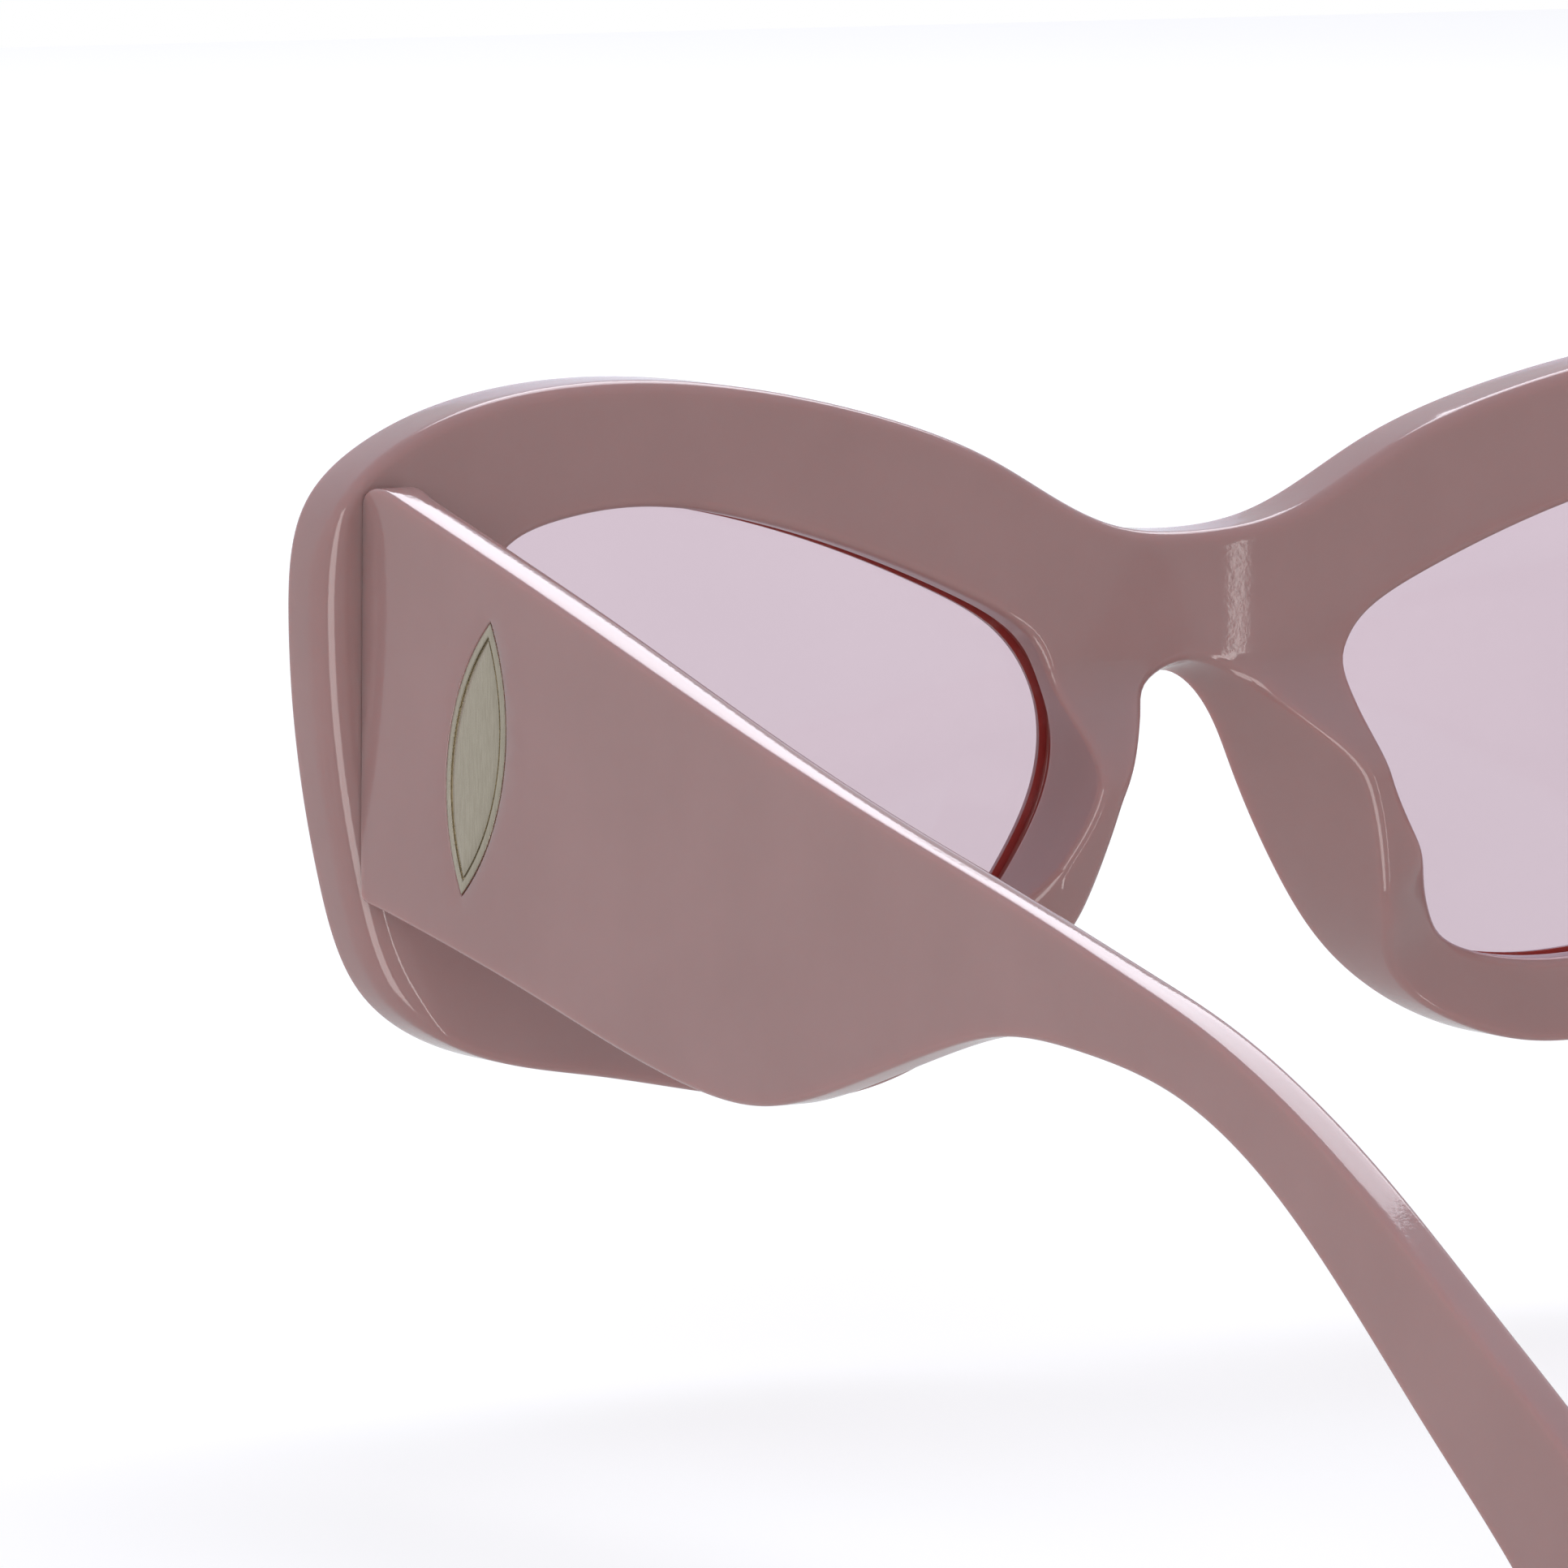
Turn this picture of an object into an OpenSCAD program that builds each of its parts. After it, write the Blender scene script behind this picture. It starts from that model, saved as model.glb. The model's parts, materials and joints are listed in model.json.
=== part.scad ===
// Cat eye sunglasses: an acetate front and two acetate temples on barrel hinges.
// Origin: middle of the bridge, on the rear face of the front.
// +X is the wearer's left, +Y runs back along the temples, +Z is up.

/* [Front] */
// Width over the outer sides of the front
front_w = 143.6; // [141:0.2:147]
// Thickness of the front
front_t = 5; // [4.8:0.1:5.6]
// Radius of the front's wrap, seen from above
wrap_r = 500; // [450:10:600]
// Height of the nose pads behind the front
pad_h = 6.2; // [4:0.1:6.4]

/* [Lenses] */
// Thickness of a lens
lens_t = 1.8; // [1.5:0.1:2]
// How far a lens reaches into the groove round its opening
groove_depth = 0.8; // [0.5:0.1:1]

/* [Temples] */
// Thickness of a temple
temple_t = 4; // [3.8:0.1:4.6]
// Thickness of a temple's slim rear arm
arm_t = 3.3; // [3.2:0.1:3.8]
// Angle by which each open temple leans inwards
splay = 2.5; // [0:0.5:3]
// How far a temple's outer face lies inside the front's outer side
temple_inset = 3; // [2.6:0.1:3.2]
// Thickness of the metal core
core_t = 1.2; // [1:0.1:1.2]
// Width of the metal core
core_w = 2.2; // [1.6:0.1:2.4]

/* [Hinges] */
// Radius of the hinge barrels
barrel_r = 2; // [1.8:0.1:2.1]
// Height of one barrel
barrel_h = 2; // [1.8:0.1:2.2]
// Radius of the hinge screw's shank
screw_r = 0.7; // [0.6:0.05:0.8]
// Height of the hinge's middle
hinge_z = -4.5; // [-6:0.5:-3]

/* [Inlay] */
// Length of the metal inlay
inlay_l = 18; // [14:0.5:19]
// Width of the metal inlay
inlay_w = 6.4; // [4:0.2:8]

/* [Hidden] */

$fn = 48;
wrap_fn = 1440;             // facets of the wrap cylinders
dome_fn = 240;              // facets of the pads' domes
arc_fn = 180;               // facets of the inlay's arcs
span_steps = 6;             // straight steps between two points of an outline
front_scale = front_w / 143.6;  // scale of the front's outlines
gap = 0.05;                 // clearance between pieces that are let into each other
run_gap = 0.04;             // radial clearance of the hinge screw
screw_gap = 0.01;           // clearance of a fixing screw in acetate
leaf_gap = 0.02;            // clearance of a fixing screw in its leaf
deep = 60;                  // longer than any cut needs

acetate = [0.61, 0.50, 0.50];
lens_tint = [0.83, 0.76, 0.81, 0.5];
hinge_metal = [0.72, 0.70, 0.66];
inlay_metal = [0.60, 0.56, 0.48];

// Left half of the front's outline (X, Z), from the top of the bridge
// round the outer side to the top of the nose gap.
front_half = [
    [0, 2.4], [7, 3.3], [16, 7.7], [26, 11.3], [37, 13.6], [48, 14.5], [58, 13.6],
    [65.5, 11.2], [70.5, 7.3], [71.8, 0], [71.1, -8.5], [69.2, -17.5], [66, -24.7],
    [59.5, -28.9], [49, -31.2], [38, -33.3], [28, -33.9], [20, -31.4], [13.9, -27.1],
    [9.4, -21], [5.8, -14], [3.3, -9.4], [0, -7.4]
];
// Left lens opening (X, Z), from its upper outer corner towards the nose.
opening_points = [
    [57.2, 3.5], [52, 5.6], [45, 6.1], [36, 4.7], [27, 2.1], [18.8, -1.1], [12.9, -4.6],
    [10.2, -9], [10.3, -14], [13.2, -19.6], [18, -25], [25, -27.8], [34, -28],
    [43, -26.4], [51, -24], [56.6, -18.9], [59.1, -11], [59, -3]
];
// Temple outline (distance behind the front, Z): upper edge to the tip.
temple_top = [
    [3.2, 8.5], [23, 2.6], [41, -3], [59, -8.1], [72, -11.5], [82, -14.4], [89, -16.6],
    [96, -19.5], [103, -23.2], [114, -30.3], [125, -37.7], [131, -42.3], [134.3, -46.7],
    [133.5, -50.5]
];
// Temple outline, carried on: from the tip back along the lower edge.
temple_bottom = [
    [128.4, -51.4], [121, -46.1], [112, -38.2], [103, -30.4], [95, -24.6], [87, -21.1],
    [78, -19.6], [70, -19.5], [63, -21.2], [54, -24.3], [44.5, -26.6], [36, -26],
    [19, -22.1], [0.8, -18.2]
];
// Temple outline at the butt end, which stands against the front.
temple_butt = [[0, -17.5], [0, 7.2], [0.4, 8.3], [1.6, 8.8]];
// Middle line of the metal core (distance behind the front, Z).
core_line = [
    [1.5, -4.9], [30, -10.4], [58, -15.4], [80, -17.3], [90, -19.6], [100, -24.6],
    [112, -33], [126, -44]
];

// Catmull-Rom curve between b and c.
function curve(a, b, c, d, u) = 0.5 * (2 * b + (c - a) * u
    + (2 * a - 5 * b + 4 * c - d) * u * u
    + (3 * b - a - 3 * c + d) * u * u * u);
function closed_curve(p, n = span_steps) = let (m = len(p)) [
    for (i = [0 : m - 1]) for (j = [0 : n - 1])
        curve(p[(i + m - 1) % m], p[i], p[(i + 1) % m], p[(i + 2) % m], j / n)
];
function open_curve(p, n = span_steps) = let (m = len(p)) [
    for (i = [0 : m - 2]) for (j = [0 : i == m - 2 ? n : n - 1])
        curve(p[max(i - 1, 0)], p[i], p[i + 1], p[min(i + 2, m - 1)], j / n)
];
function unit(v) = v / norm(v);
function left_of(v) = [-v[1], v[0]];
// A closed outline moved outwards by d; the outline runs clockwise (d > 0 grows it).
function grown(p, d) = let (m = len(p)) [
    for (i = [0 : m - 1]) p[i] + d * left_of(unit(p[(i + 1) % m] - p[(i + m - 1) % m]))
];
// One side of a strip of half width d along an open line.
function strip_side(p, d) = let (m = len(p)) [
    for (i = [0 : m - 1]) p[i] + d * left_of(unit(p[min(i + 1, m - 1)] - p[max(i - 1, 0)]))
];
function backwards(p) = [for (i = [len(p) - 1 : -1 : 0]) p[i]];
// Rear face of the front: its Y at a given X.
function rear_y(x) = wrap_r - sqrt(wrap_r * wrap_r - x * x);

front_points = closed_curve(front_scale * concat(
    front_half, [for (i = [len(front_half) - 2 : -1 : 1]) [-front_half[i][0], front_half[i][1]]]
));
// The opening's points run anticlockwise, so they are turned round.
lens_points = backwards(closed_curve(front_scale * opening_points));
temple_points = concat(temple_butt, open_curve(concat(temple_top, temple_bottom)));

// Nose pads.
pad_at = [11.2, -16.5];     // middle of a pad (X, Z)
pad_r = 14;                 // radius of its domed top
pad_lean = 11;              // lean of its lens side
pad_slope = 30;             // slope of its nose side
pad_rake = 25;              // the nose side opens downwards by this angle
pad_side_x = 6.6;           // X of the nose side, this far behind the rear face:
pad_side_y = 0.5;
pad_inset = 0.4;            // the pad stays this far inside the rim's edges

// Lens groove, measured from the front's rear face.
groove_rear = 2.3;
groove_front = groove_rear + lens_t + 2 * gap;

// Inner corner of a temple's butt end, and the hinge axis.
temple_x = front_scale * 71.8 - temple_inset - temple_t;
axis_off = barrel_r + 0.7;                   // from the axis to both faces it works on
axis_x = temple_x - axis_off;
axis_y = rear_y(axis_x) + axis_off;
tilt = asin(axis_x / wrap_r);                // slope of the rear face at the hinge
leaf_t = 1;                                  // thickness of both hinge leaves
leaf_x = [-2.1, 2.5];                        // sides of the front leaf
leaf_z = 8;                                  // half height of the front leaf
temple_leaf_y = [-2.1, 10];                  // ends of the temple leaf
temple_leaf_z = 5;                           // half height of the temple leaf
butt_ease = 0.5;                             // half diagonal cut off the butt end's outer corner
taper_y = [20, 60];                          // a temple thins from the first to the second
core_x = 1.5;                                // depth of the core behind the temple's inner face
fixing_r = 0.5;
fixing_head_r = 1;
fixing_head_h = 0.5;
fixing_l = 2.8;                              // whole length of a fixing screw
front_fixing_z = 6.6;                        // the two screws of the front leaf
temple_fixing = [7.2, 3.7];                  // the two screws of the temple leaf

// Inlay: a slim pointed oval between two arcs.
inlay_t = 0.6;
inlay_at = [13.8, -7.8];
inlay_lean = -10;            // its upper point leans backwards
inlay_arc_r = (inlay_l * inlay_l + inlay_w * inlay_w) / (4 * inlay_w);
inlay_pin_r = 0.5;
inlay_pin_l = 0.6;
inlay_pin_gap = 4.5;         // from the inlay's middle to each pin
inlay_pin_overlap = 0.2;     // how far a pin reaches into the plate

// Wall of given inner and outer depth, following the wrap, for cutting prisms.
module wrap_wall(rear, front) {
    translate([0, wrap_r, -deep]) difference() {
        cylinder(r = wrap_r + front, h = 2 * deep, $fn = wrap_fn);
        translate([0, 0, -1]) cylinder(r = wrap_r + rear, h = 2 * deep + 2, $fn = wrap_fn);
    }
}
// A prism that runs along Y from an outline in X and Z.
module along_y(points, y0 = -20, y1 = 30) {
    translate([0, y1, 0]) rotate([90, 0, 0]) linear_extrude(y1 - y0) polygon(points);
}
module mirrored() { mirror([1, 0, 0]) children(); }
// Places children in the frame of the front leaf: origin on the hinge axis.
module at_front_leaf() { translate([axis_x, axis_y, hinge_z]) rotate([0, 0, tilt]) children(); }
// The same point, turned with the temple.
module at_temple_leaf() { translate([axis_x, axis_y, hinge_z]) rotate([0, 0, splay]) children(); }
// Temple frame: inner face at X = 0, butt end at Y = 0.
module at_temple() {
    at_temple_leaf() translate([axis_off, -axis_off, -hinge_z]) children();
}
// A flat piece in the temple's plane, from x0 to x1.
module in_temple(points, x0, x1) {
    translate([x0, 0, 0]) rotate([90, 0, 90]) linear_extrude(x1 - x0) polygon(points);
}

// Screw with a round head, along -Y from the origin.
module fixing(extra = 0) {
    rotate([90, 0, 0]) {
        cylinder(r = fixing_r + extra, h = fixing_l + extra);
        translate([0, 0, -extra]) cylinder(r = fixing_head_r + extra, h = fixing_head_h + 2 * extra);
    }
}
module front_fixings(extra = 0) {
    for (z = [-front_fixing_z, front_fixing_z])
        at_front_leaf() translate([0, -axis_off, z]) fixing(extra);
}
module temple_fixings(extra = 0) {
    for (z = [-temple_fixing[1], temple_fixing[1]])
        at_temple_leaf() translate([axis_off, temple_fixing[0], z]) rotate([0, 0, 90]) fixing(extra);
}
module front_leaf_plate(extra = 0) {
    at_front_leaf() translate([leaf_x[0] - extra, -axis_off - leaf_t - extra, -leaf_z - extra])
        cube([leaf_x[1] - leaf_x[0] + 2 * extra, leaf_t + 2 * extra, 2 * leaf_z + 2 * extra]);
}
module temple_leaf_plate(extra = 0) {
    at_temple_leaf() translate([axis_off - extra, temple_leaf_y[0] - extra, -temple_leaf_z - extra])
        cube([leaf_t + 2 * extra, temple_leaf_y[1] - temple_leaf_y[0] + 2 * extra,
              2 * temple_leaf_z + 2 * extra]);
}
// Barrel with its web; the web runs along -Y to the leaf.
module barrel(z, h) {
    translate([0, 0, z - h / 2]) {
        cylinder(r = barrel_r, h = h);
        translate([-barrel_r, -axis_off - leaf_t / 2, 0]) cube([2 * barrel_r, axis_off + leaf_t / 2, h]);
    }
}
module pin_bore() { translate([0, 0, -deep]) cylinder(r = screw_r + run_gap, h = 2 * deep); }

module left_lens_solid() {
    intersection() {
        along_y(grown(lens_points, groove_depth - gap));
        wrap_wall(groove_rear + gap, groove_rear + gap + lens_t);
    }
}
module left_side_cuts() {
    along_y(lens_points);
    intersection() {
        along_y(grown(lens_points, groove_depth));
        wrap_wall(groove_rear, groove_front);
    }
    front_leaf_plate(gap);
    front_fixings(screw_gap);
}
// A pad follows the nasal rim, leans away from the nose and slopes on its nose side.
module left_pad_solid() {
    at = front_scale * pad_at;
    intersection() {
        translate([at[0], 0, 0]) rotate([0, 0, -pad_lean]) translate([-at[0], 0, 0])
            difference() {
                along_y(grown(front_points, -pad_inset), y0 = -2, y1 = 12);
                along_y(grown(lens_points, pad_inset));
            }
        translate([at[0], pad_h - pad_r, at[1]]) sphere(r = pad_r, $fn = dome_fn);
        translate([0, wrap_r, -deep]) cylinder(r = wrap_r, h = 2 * deep, $fn = wrap_fn);
        translate([0, pad_side_y, at[1]]) rotate([0, -pad_rake, 0])
            translate([front_scale * pad_side_x, 0, 0]) rotate([0, 0, -pad_slope])
            translate([0, -deep, -deep]) cube([deep, 2 * deep, 2 * deep]);
    }
}
module left_front_hinge_solid() {
    difference() {
        union() {
            front_leaf_plate();
            at_front_leaf() for (i = [-2, 0, 2]) barrel(i * barrel_h, barrel_h);
        }
        at_front_leaf() pin_bore();
        front_fixings(leaf_gap);
    }
}
module left_temple_hinge_solid() {
    difference() {
        union() {
            temple_leaf_plate();
            at_temple_leaf() rotate([0, 0, 90]) for (i = [-1, 1]) barrel(i * barrel_h, barrel_h - 2 * gap);
        }
        at_temple_leaf() pin_bore();
        temple_fixings(leaf_gap);
    }
}
module left_screw_solid() {
    head_h = 0.7;
    slot_w = 0.4;
    top = 2.5 * barrel_h;
    at_front_leaf() difference() {
        union() {
            translate([0, 0, -top]) cylinder(r = screw_r, h = 2 * top);
            translate([0, 0, top]) cylinder(r = 1.8 * screw_r, h = head_h);
        }
        translate([-5, -slot_w / 2, top + head_h / 2]) cube([10, slot_w, 1]);
    }
}
// The metal core, or with a start the channel that it is slid into from the butt end.
module core_channel(extra = 0, start = 0) {
    line = open_curve(core_line);
    half = core_w / 2 + extra;
    points = concat(strip_side(line, half), backwards(strip_side(line, -half)));
    at_temple() {
        in_temple(points, core_x - extra, core_x + core_t + extra);
        if (start > 0) translate([core_x - extra, -1, core_line[0][1] - half])
            cube([core_t + 2 * extra, start + 1.5, 2 * half]);
    }
}
module inlay_blank(x0, x1, extra = 0) {
    at_temple() translate([x0, inlay_at[0], inlay_at[1]]) rotate([inlay_lean, 0, 0])
        rotate([90, 0, 90]) linear_extrude(x1 - x0) intersection() {
            off = inlay_arc_r - inlay_w / 2;
            translate([off, 0]) circle(r = inlay_arc_r + extra, $fn = arc_fn);
            translate([-off, 0]) circle(r = inlay_arc_r + extra, $fn = arc_fn);
        }
}
module inlay_pins(x0, x1, extra = 0) {
    at_temple() translate([x0, inlay_at[0], inlay_at[1]]) rotate([inlay_lean, 0, 0])
        for (z = [-inlay_pin_gap, inlay_pin_gap]) translate([0, 0, z])
            rotate([0, 90, 0]) cylinder(r = inlay_pin_r + extra, h = x1 - x0);
}
module left_inlay_solid() {
    inner = temple_t - inlay_t;
    inlay_blank(inner, temple_t);
    inlay_pins(inner - inlay_pin_l, inner + inlay_pin_overlap);
}
module left_temple_solid() {
    inner = temple_t - inlay_t;
    difference() {
        intersection() {
            at_temple() in_temple([for (p = temple_points) [p[0] > 0 ? p[0] : -2, p[1]]], 0, temple_t);
            translate([0, wrap_r, -2 * deep]) cylinder(r = wrap_r - gap, h = 3 * deep, $fn = wrap_fn);
        }
        // The corner that meets the front is eased.
        at_temple() translate([temple_t, rear_y(temple_x + temple_t) - rear_y(temple_x), -deep])
            rotate([0, 0, 45]) translate([-butt_ease, -butt_ease, 0])
            cube([2 * butt_ease, 2 * butt_ease, 2 * deep]);
        // The inner side thins towards the arm.
        at_temple() translate([0, 0, -deep]) linear_extrude(2 * deep) polygon([
            [0, taper_y[0]], [temple_t - arm_t, taper_y[1]], [temple_t - arm_t, 3 * deep],
            [-1, 3 * deep], [-1, taper_y[0]]
        ]);
        temple_leaf_plate(gap);
        temple_fixings(screw_gap);
        core_channel(gap, 1.5);
        inlay_blank(inner - gap, temple_t + 1, gap);
        inlay_pins(inner - inlay_pin_l - gap, inner + inlay_pin_overlap, gap);
    }
}

module front_frame() {
    color(acetate) difference() {
        intersection() {
            along_y(front_points);
            wrap_wall(0, front_t);
        }
        left_side_cuts();
        mirrored() left_side_cuts();
    }
}
module left_lens() { color(lens_tint) left_lens_solid(); }
module right_lens() { color(lens_tint) mirrored() left_lens_solid(); }
module left_nose_pad() { color(acetate) left_pad_solid(); }
module right_nose_pad() { color(acetate) mirrored() left_pad_solid(); }
module left_front_hinge() { color(hinge_metal) left_front_hinge_solid(); }
module right_front_hinge() { color(hinge_metal) mirrored() left_front_hinge_solid(); }
module left_temple_hinge() { color(hinge_metal) left_temple_hinge_solid(); }
module right_temple_hinge() { color(hinge_metal) mirrored() left_temple_hinge_solid(); }
module left_hinge_screw() { color(hinge_metal) left_screw_solid(); }
module right_hinge_screw() { color(hinge_metal) mirrored() left_screw_solid(); }
module left_front_fixings() { color(hinge_metal) front_fixings(); }
module right_front_fixings() { color(hinge_metal) mirrored() front_fixings(); }
module left_temple_fixings() { color(hinge_metal) temple_fixings(); }
module right_temple_fixings() { color(hinge_metal) mirrored() temple_fixings(); }
module left_temple() { color(acetate) left_temple_solid(); }
module right_temple() { color(acetate) mirrored() left_temple_solid(); }
module left_core_wire() { color(hinge_metal) core_channel(); }
module right_core_wire() { color(hinge_metal) mirrored() core_channel(); }
module left_inlay() { color(inlay_metal) left_inlay_solid(); }
module right_inlay() { color(inlay_metal) mirrored() left_inlay_solid(); }

front_frame();
left_lens();
right_lens();
left_nose_pad();
right_nose_pad();
left_front_hinge();
right_front_hinge();
left_temple_hinge();
right_temple_hinge();
left_hinge_screw();
right_hinge_screw();
left_front_fixings();
right_front_fixings();
left_temple_fixings();
right_temple_fixings();
left_temple();
right_temple();
left_core_wire();
right_core_wire();
left_inlay();
right_inlay();
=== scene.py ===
"""Cat eye sunglasses: the looks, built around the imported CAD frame.

Outlines are in millimetres: X to the wearer's left and Z up for the front, distance behind the
front and Z for a temple. Meshes are in metres, in the frame's own axes.
"""

import json
import math

import bpy
import numpy as np
from mathutils import Matrix, Vector
from mathutils.geometry import delaunay_2d_cdt


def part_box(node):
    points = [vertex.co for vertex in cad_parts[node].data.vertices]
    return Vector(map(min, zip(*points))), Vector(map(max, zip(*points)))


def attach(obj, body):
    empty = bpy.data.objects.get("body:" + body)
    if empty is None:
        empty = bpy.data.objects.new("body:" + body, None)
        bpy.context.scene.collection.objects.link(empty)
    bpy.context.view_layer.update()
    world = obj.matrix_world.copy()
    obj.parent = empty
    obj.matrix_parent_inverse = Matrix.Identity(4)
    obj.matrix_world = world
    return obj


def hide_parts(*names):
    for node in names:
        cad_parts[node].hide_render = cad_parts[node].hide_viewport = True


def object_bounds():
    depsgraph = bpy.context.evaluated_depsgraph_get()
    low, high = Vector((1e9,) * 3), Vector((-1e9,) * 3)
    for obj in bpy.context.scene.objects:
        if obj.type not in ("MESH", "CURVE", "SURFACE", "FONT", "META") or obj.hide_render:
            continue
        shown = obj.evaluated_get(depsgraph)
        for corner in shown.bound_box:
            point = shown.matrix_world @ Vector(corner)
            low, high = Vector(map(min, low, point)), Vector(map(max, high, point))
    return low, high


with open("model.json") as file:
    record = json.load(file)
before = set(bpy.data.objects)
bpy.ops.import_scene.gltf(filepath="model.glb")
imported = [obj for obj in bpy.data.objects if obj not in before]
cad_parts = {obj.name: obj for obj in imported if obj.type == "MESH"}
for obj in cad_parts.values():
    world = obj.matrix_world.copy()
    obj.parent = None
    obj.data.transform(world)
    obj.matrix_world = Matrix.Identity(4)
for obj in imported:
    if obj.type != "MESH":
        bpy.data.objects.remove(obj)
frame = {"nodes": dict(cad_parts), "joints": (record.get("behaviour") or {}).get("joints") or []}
cad_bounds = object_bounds()

MM = 0.001
TINY = 1e-12


# ---------------------------------------------------------------- sizes from the frame
def size_mm(node):
    """Lowest and highest corner of a CAD node, in millimetres."""
    low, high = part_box(node)
    return np.array(low) / MM, np.array(high) / MM


FRONT_LOW, FRONT_HIGH = size_mm("front_frame")
OUTLINE_HALF_W = 71.82               # half the width of the front's outline below
SCALE = FRONT_HIGH[0] / OUTLINE_HALF_W
FRONT_T = -FRONT_LOW[1]              # thickness at the bridge
WRAP_R = 500.0                       # radius of the front's wrap, seen from above
SPLAY = math.radians(2.5)            # lean of the open temples
TEMPLE_T = 4.0
ARM_T = 3.3                          # thickness of the slim rear arm
TAPER = 20, 60                       # a temple thins between these distances
HINGE = {j["child"]: np.array(j["pos_m"]) / MM for j in frame["joints"]}
HINGE_OFF = 2.7                      # from a hinge axis to the temple's inner face
LENS_REAR = 2.35                     # lens faces, measured from the front's rear face
LENS_FRONT = 4.15
GROOVE_DEPTH = 0.8
GROOVE_GAP = 0.05                    # between a lens face and the side of its groove
LENS_GAP = 0.1                       # between a lens edge and the bottom of its groove
FRONT_LEAF = (60.3, -12.55), (65.1, 3.55)    # pocket of the left hinge leaf: x and z
TEMPLE_LEAF = (0.55, -9.55), (12.75, 0.55)   # the same in a temple: distance and z
LEAF_DEPTH = 1.05
BUTT_GAP = 0.05                      # between a temple's butt end and the front
LEAF_CORNER = 0.2, 0.3               # corner radii of these two pockets

# Left half of the front's outline, from the top of the bridge round to the nose gap.
FRONT_HALF = [
    (0, 2.4), (7, 3.3), (16, 7.7), (26, 11.3), (37, 13.6), (48, 14.5), (58, 13.6), (65.5, 11.2),
    (70.5, 7.3), (71.8, 0), (71.1, -8.5), (69.2, -17.5), (66, -24.7), (59.5, -28.9), (49, -31.2),
    (38, -33.3), (28, -33.9), (20, -31.4), (13.9, -27.1), (9.4, -21), (5.8, -14), (3.3, -9.4),
    (0, -7.4),
]
# Left lens opening, from its upper outer corner towards the nose and round.
OPENING = [
    (57.2, 3.5), (52, 5.6), (45, 6.1), (36, 4.7), (27, 2.1), (18.8, -1.1), (12.9, -4.6), (10.2, -9),
    (10.3, -14), (13.2, -19.6), (18, -25), (25, -27.8), (34, -28), (43, -26.4), (51, -24),
    (56.6, -18.9), (59.1, -11), (59, -3),
]
# Temple outline from its upper front corner to the tip and back along the lower edge.
TEMPLE = [
    (3.2, 8.5), (23, 2.6), (41, -3), (59, -8.1), (72, -11.5), (82, -14.4), (89, -16.6), (96, -19.5),
    (103, -23.2), (114, -30.3), (125, -37.7), (131, -42.3), (134.3, -46.7), (133.5, -50.5),
    (128.4, -51.4), (121, -46.1), (112, -38.2), (103, -30.4), (95, -24.6), (87, -21.1), (78, -19.6),
    (70, -19.5), (63, -21.2), (54, -24.3), (44.5, -26.6), (36, -26), (19, -22.1), (0.8, -18.2),
]


# ---------------------------------------------------------------- curves
def spline(points, closed, fine=24):
    """A cubic spline with continuous curvature through the points, as a dense polyline."""
    p = np.array(points, float)
    if closed:
        p = np.vstack([p, p[:1]])
    step = np.linalg.norm(np.diff(p, axis=0), axis=1)
    n = len(p)
    a = np.zeros((n, n))
    b = np.zeros((n, 2))
    slope = np.diff(p, axis=0) / step[:, None]
    for i in range(1, n - 1):
        a[i, i - 1: i + 2] = step[i - 1], 2 * (step[i - 1] + step[i]), step[i]
        b[i] = 6 * (slope[i] - slope[i - 1])
    if closed:
        a[0, 0], a[0, -1] = 1, -1
        a[-1, [0, 1, -2, -1]] = 2 * step[0], step[0], step[-1], 2 * step[-1]
        b[-1] = 6 * (slope[0] - slope[-1])
    else:
        a[0, 0] = a[-1, -1] = 1
    second = np.linalg.solve(a, b)
    out = []
    for i in range(n - 1):
        t = np.linspace(0, step[i], fine, endpoint=False)[:, None]
        left, right, h = second[i], second[i + 1], step[i]
        out.append(
            left * (h - t) ** 3 / (6 * h) + right * t ** 3 / (6 * h)
            + (p[i] / h - left * h / 6) * (h - t) + (p[i + 1] / h - right * h / 6) * t
        )
    if not closed:
        out.append(p[-1:])
    return np.vstack(out)


def blurred(values, gap, blur):
    """Values on a closed loop with points gap apart, blurred along it by a length."""
    wave = np.fft.fftfreq(len(values), gap)
    damp = np.exp(-2 * (math.pi * wave * blur) ** 2)
    return np.fft.ifft((np.fft.fft(values, axis=0).T * damp).T, axis=0).real


def even_loop(points, spacing, blur=0.0):
    """A closed polyline resampled evenly and, if asked, blurred along its length."""
    p = np.vstack([points, points[:1]])
    run = np.concatenate([[0], np.cumsum(np.linalg.norm(np.diff(p, axis=0), axis=1))])
    count = int(round(run[-1] / spacing))
    at = np.arange(count) * run[-1] / count
    even = np.stack([np.interp(at, run, p[:, k]) for k in (0, 1)], 1)
    return blurred(even, run[-1] / count, blur) if blur > 0 else even


def anticlockwise(loop):
    """The loop, turned round if it runs clockwise."""
    after = np.roll(loop, -1, 0)
    double_area = (loop[:, 0] * after[:, 1] - after[:, 0] * loop[:, 1]).sum()
    return loop if double_area > 0 else loop[::-1].copy()


def inward(loop, hole=False):
    """Unit normals of an anticlockwise loop that point into the material."""
    tangent = np.roll(loop, -1, 0) - np.roll(loop, 1, 0)
    tangent /= np.linalg.norm(tangent, axis=1)[:, None]
    normal = np.stack([-tangent[:, 1], tangent[:, 0]], 1)
    return -normal if hole else normal


def smoothstep(low, high, x):
    """0 up to low, 1 from high on, and a smooth rise between them."""
    t = np.clip((np.asarray(x, float) - low) / (high - low), 0, 1)
    return t * t * (3 - 2 * t)


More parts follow.
